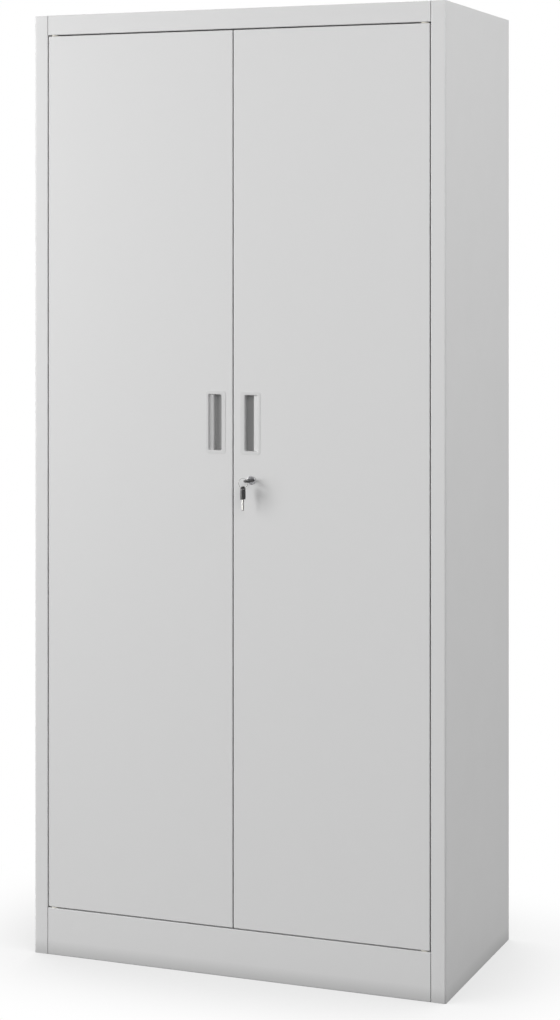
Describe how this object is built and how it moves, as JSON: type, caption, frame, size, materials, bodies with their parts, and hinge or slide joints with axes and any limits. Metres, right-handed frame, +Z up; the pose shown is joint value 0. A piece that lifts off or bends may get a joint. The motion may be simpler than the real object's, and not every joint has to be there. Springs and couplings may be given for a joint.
{
  "type": "office cupboard",
  "caption": "Tall two-door sheet steel office cupboard with adjustable shelves, recessed finger pulls and a key-driven lock with upper and lower rods.",
  "frame": {"origin": "centre of the bounding box on the floor; the front face of the doors is at Y = -0.2100 m", "axes": "+X to the right seen from the front, +Y from the doors to the back, +Z up"},
  "size_m": [0.9, 0.4817, 1.96],
  "materials": {
    "powder_coat": "satin fine-textured powder coat, light grey",
    "handle_plastic": "moulded light grey plastic",
    "zinc_plate": "zinc plated",
    "chrome": "polished",
    "nickel": "nickel plated",
    "nylon": "moulded",
    "key_plastic": "moulded black",
    "rubber": "matt"
  },
  "bodies": {
    "root": {"top_panel": "powder_coat", "bottom_panel": "powder_coat", "back_panel": "powder_coat", "shelf_1": "powder_coat", "shelf_2": "powder_coat", "shelf_3": "powder_coat", "shelf_4": "powder_coat", "left_side_panel": "powder_coat", "left_front_upright": "powder_coat", "shelf_1_clip_left_front": "zinc_plate", "shelf_2_clip_left_front": "zinc_plate", "shelf_3_clip_left_front": "zinc_plate", "shelf_4_clip_left_front": "zinc_plate", "left_rear_upright": "powder_coat", "shelf_1_clip_left_rear": "zinc_plate", "shelf_2_clip_left_rear": "zinc_plate", "shelf_3_clip_left_rear": "zinc_plate", "shelf_4_clip_left_rear": "zinc_plate", "left_top_bush": "nylon", "left_bottom_bush": "nylon", "left_door_buffer": "rubber", "right_side_panel": "powder_coat", "right_front_upright": "powder_coat", "shelf_1_clip_right_front": "zinc_plate", "shelf_2_clip_right_front": "zinc_plate", "shelf_3_clip_right_front": "zinc_plate", "shelf_4_clip_right_front": "zinc_plate", "right_rear_upright": "powder_coat", "shelf_1_clip_right_rear": "zinc_plate", "shelf_2_clip_right_rear": "zinc_plate", "shelf_3_clip_right_rear": "zinc_plate", "shelf_4_clip_right_rear": "zinc_plate", "right_top_bush": "nylon", "right_bottom_bush": "nylon", "right_door_buffer": "rubber"},
    "left_door": {"left_door_skin": "powder_coat", "left_door_stiffener": "powder_coat", "left_handle_cup": "handle_plastic", "left_top_pivot": "zinc_plate", "left_bottom_pivot": "zinc_plate"},
    "right_door": {"right_door_skin": "powder_coat", "right_door_stiffener": "powder_coat", "right_handle_cup": "handle_plastic", "right_top_pivot": "zinc_plate", "right_bottom_pivot": "zinc_plate", "lock_barrel": "chrome", "lock_nut": "zinc_plate", "lock_case": "zinc_plate", "upper_rod_guide": "nylon", "lower_rod_guide": "nylon"},
    "lock": {"lock_plug": "chrome", "lock_pinion": "zinc_plate", "lock_cam": "zinc_plate"},
    "upper_rod": {"upper_lock_rod": "zinc_plate"},
    "lower_rod": {"lower_lock_rod": "zinc_plate"},
    "key": {"key_blade": "nickel", "key_bow": "key_plastic"},
    "ring": {"key_ring": "nickel"},
    "spare_key": {"spare_key_blade": "nickel", "spare_key_bow": "key_plastic"}
  },
  "joints": [
    {"name": "left_door_hinge", "type": "hinge", "parent": "root", "child": "left_door", "pos_m": [-0.4048, -0.202, 1], "axis": [0, 0, -1], "range_deg": [0, 110]},
    {"name": "right_door_hinge", "type": "hinge", "parent": "root", "child": "right_door", "pos_m": [0.4048, -0.202, 1], "axis": [0, 0, 1], "range_deg": [0, 110]},
    {"name": "lock_turn", "type": "hinge", "parent": "right_door", "child": "lock", "pos_m": [0.04, -0.21, 1.007], "axis": [0, -1, 0], "range_deg": [0, 90]},
    {"name": "upper_rod_slide", "type": "slide", "parent": "right_door", "child": "upper_rod", "axis": [0, 0, 1], "range_m": [0, 0.0126]},
    {"name": "lower_rod_slide", "type": "slide", "parent": "right_door", "child": "lower_rod", "axis": [0, 0, -1], "range_m": [0, 0.0126]},
    {"name": "key_withdrawal", "type": "slide", "parent": "lock", "child": "key", "axis": [0, -1, 0], "range_m": [0, 0.022]},
    {"name": "ring_hang", "type": "hinge", "parent": "key", "child": "ring", "pos_m": [0.03525, -0.2345, 1.0065], "axis": [0, -1, 0], "range_deg": [-90, 0]},
    {"name": "spare_key_swing", "type": "hinge", "parent": "ring", "child": "spare_key", "pos_m": [0.03175, -0.2345, 0.9935], "axis": [-1, 0, 0], "range_deg": [-10, 30]}
  ],
  "couplings": [
    {"joint": "upper_rod_slide", "follows": "lock_turn", "m_per_rad": 0.008},
    {"joint": "lower_rod_slide", "follows": "lock_turn", "m_per_rad": 0.008},
    {"joint": "ring_hang", "follows": "lock_turn", "ratio": -1}
  ]
}
